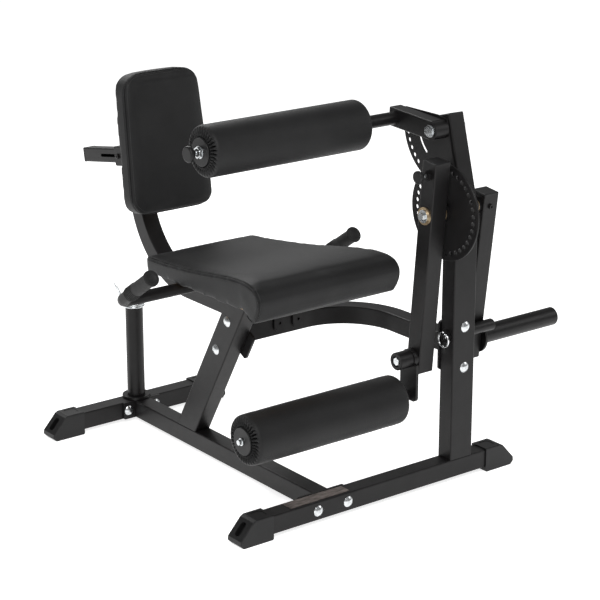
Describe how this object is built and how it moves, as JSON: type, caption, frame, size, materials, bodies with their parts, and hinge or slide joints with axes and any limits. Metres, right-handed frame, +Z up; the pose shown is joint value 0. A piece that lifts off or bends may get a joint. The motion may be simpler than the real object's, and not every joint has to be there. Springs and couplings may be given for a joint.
{
  "type": "leg extension machine",
  "caption": "Plate-loaded leg extension and leg curl bench: wedge seat, sliding backrest, swinging leg arm with foam roller, indexing disc, adjustable thigh roller and weight sleeve.",
  "frame": {"origin": "On the floor, under the middle of the whole machine's plan at rest.", "axes": "+Z is up, the user sits facing -Y and +X is towards the user's left, where the lever and the weight sleeve are."},
  "size_m": [1.1665, 1.2281, 1.034],
  "materials": {
    "black_powder_coat": "satin black powder coat on steel tube",
    "vinyl": "charcoal black upholstery vinyl with a fine grain",
    "black_plastic": "moulded black plastic, lightly textured",
    "grip_rubber": "ribbed black rubber",
    "zinc": "bright zinc plated steel",
    "chrome": "polished chrome",
    "bronze": "sintered bronze bushing",
    "plate_silver": "blank satin metal plate",
    "plywood": "bare plywood"
  },
  "bodies": {
    "frame": {"front_cross_tube": "black_powder_coat", "rear_cross_tube": "black_powder_coat", "spine_tube": "black_powder_coat", "foot_front_right": "black_plastic", "foot_front_left": "black_plastic", "foot_rear_right": "black_plastic", "foot_rear_left": "black_plastic", "name_plate": "plate_silver", "carriage_bolts": "zinc", "storage_post": "black_powder_coat", "seat_post": "black_powder_coat", "curved_beam": "black_powder_coat", "upright": "black_powder_coat", "upright_cap": "black_plastic", "index_quadrant": "black_powder_coat", "pivot_bushings": "bronze", "thigh_pivot_bolt": "zinc", "seat_board": "plywood", "seat_cushion": "vinyl", "backrest_tube": "black_powder_coat", "backrest_sleeve": "black_powder_coat", "sleeve_liner": "black_plastic", "guide_screw": "black_powder_coat", "handle_bar": "black_powder_coat", "handle_grip_right": "grip_rubber", "handle_grip_left": "grip_rubber"},
    "lever": {"pivot_shaft": "black_powder_coat", "pivot_bolts": "zinc", "index_disc": "black_powder_coat", "weight_arm": "black_powder_coat", "weight_arm_caps": "black_plastic", "set_screw": "black_powder_coat", "weight_sleeve": "black_powder_coat", "weight_sleeve_cap": "black_plastic"},
    "leg_arm": {"leg_arm": "black_powder_coat", "leg_arm_caps": "black_plastic", "leg_arm_bushing": "bronze", "pop_pin_housing": "black_powder_coat", "ankle_bolt": "zinc"},
    "pop_pin": {"pop_pin": "zinc", "pop_pin_knob": "black_plastic"},
    "ankle_hanger": {"ankle_hanger": "black_powder_coat", "lower_axle_bolt": "zinc"},
    "lower_roller": {"lower_roller_core": "black_plastic", "lower_roller_pad": "vinyl"},
    "thigh_arm": {"thigh_arm": "black_powder_coat", "thigh_axle": "black_powder_coat", "thigh_axle_nut": "zinc"},
    "pull_rod": {"pull_rod": "zinc", "pull_knob": "black_plastic"},
    "upper_roller": {"upper_roller_core": "black_plastic", "upper_roller_pad": "vinyl"},
    "backrest": {"slider_tube": "black_powder_coat", "slider_cap": "black_plastic", "back_board": "plywood", "back_cushion": "vinyl"},
    "lock_knob": {"lock_knob": "black_plastic"},
    "stop_pin": {"stop_pin": "black_powder_coat", "stop_ring": "chrome"},
    "spring_clip": {"spring_clip": "zinc"}
  },
  "joints": [
    {"name": "lever_swing", "type": "hinge", "parent": "frame", "child": "lever", "pos_m": [0.1966, -0.48705, 0.741], "axis": [1, 0, 0], "range_deg": [0, 30]},
    {"name": "leg_arm_index", "type": "hinge", "parent": "lever", "child": "leg_arm", "pos_m": [0.1001, -0.48705, 0.741], "axis": [1, 0, 0], "range_deg": [-110, 0]},
    {"name": "pop_pin_push", "type": "slide", "parent": "leg_arm", "child": "pop_pin", "axis": [1, 0, 0], "range_m": [0, 0.007]},
    {"name": "ankle_swing", "type": "hinge", "parent": "leg_arm", "child": "ankle_hanger", "pos_m": [0.0701, -0.45183, 0.354], "axis": [1, 0, 0], "range_deg": [-60, 10]},
    {"name": "lower_roller_spin", "type": "hinge", "parent": "ankle_hanger", "child": "lower_roller", "pos_m": [-0.2254, -0.45183, 0.253], "axis": [1, 0, 0], "continuous": true},
    {"name": "thigh_arm_index", "type": "hinge", "parent": "frame", "child": "thigh_arm", "pos_m": [0.1571, -0.43105, 0.941], "axis": [1, 0, 0], "range_deg": [-51, 0]},
    {"name": "pull_rod_push", "type": "slide", "parent": "thigh_arm", "child": "pull_rod", "axis": [1, 0, 0], "range_m": [0, 0.007]},
    {"name": "upper_roller_spin", "type": "hinge", "parent": "thigh_arm", "child": "upper_roller", "pos_m": [-0.2254, -0.2903, 0.94936], "axis": [1, 0, 0], "continuous": true},
    {"name": "backrest_slide", "type": "slide", "parent": "frame", "child": "backrest", "axis": [0, -0.9848, 0.1736], "range_m": [0, 0.095]},
    {"name": "lock_knob_turn", "type": "hinge", "parent": "frame", "child": "lock_knob", "pos_m": [-0.1829, 0.37395, 0.77558], "axis": [1, 0, 0], "range_deg": [0, 180]},
    {"name": "stop_pin_draw", "type": "slide", "parent": "frame", "child": "stop_pin", "axis": [-1, 0, 0], "range_m": [0, 0.014]},
    {"name": "spring_clip_slide", "type": "slide", "parent": "frame", "child": "spring_clip", "axis": [0, 0, 1], "range_m": [-0.24, 0.01]}
  ]
}
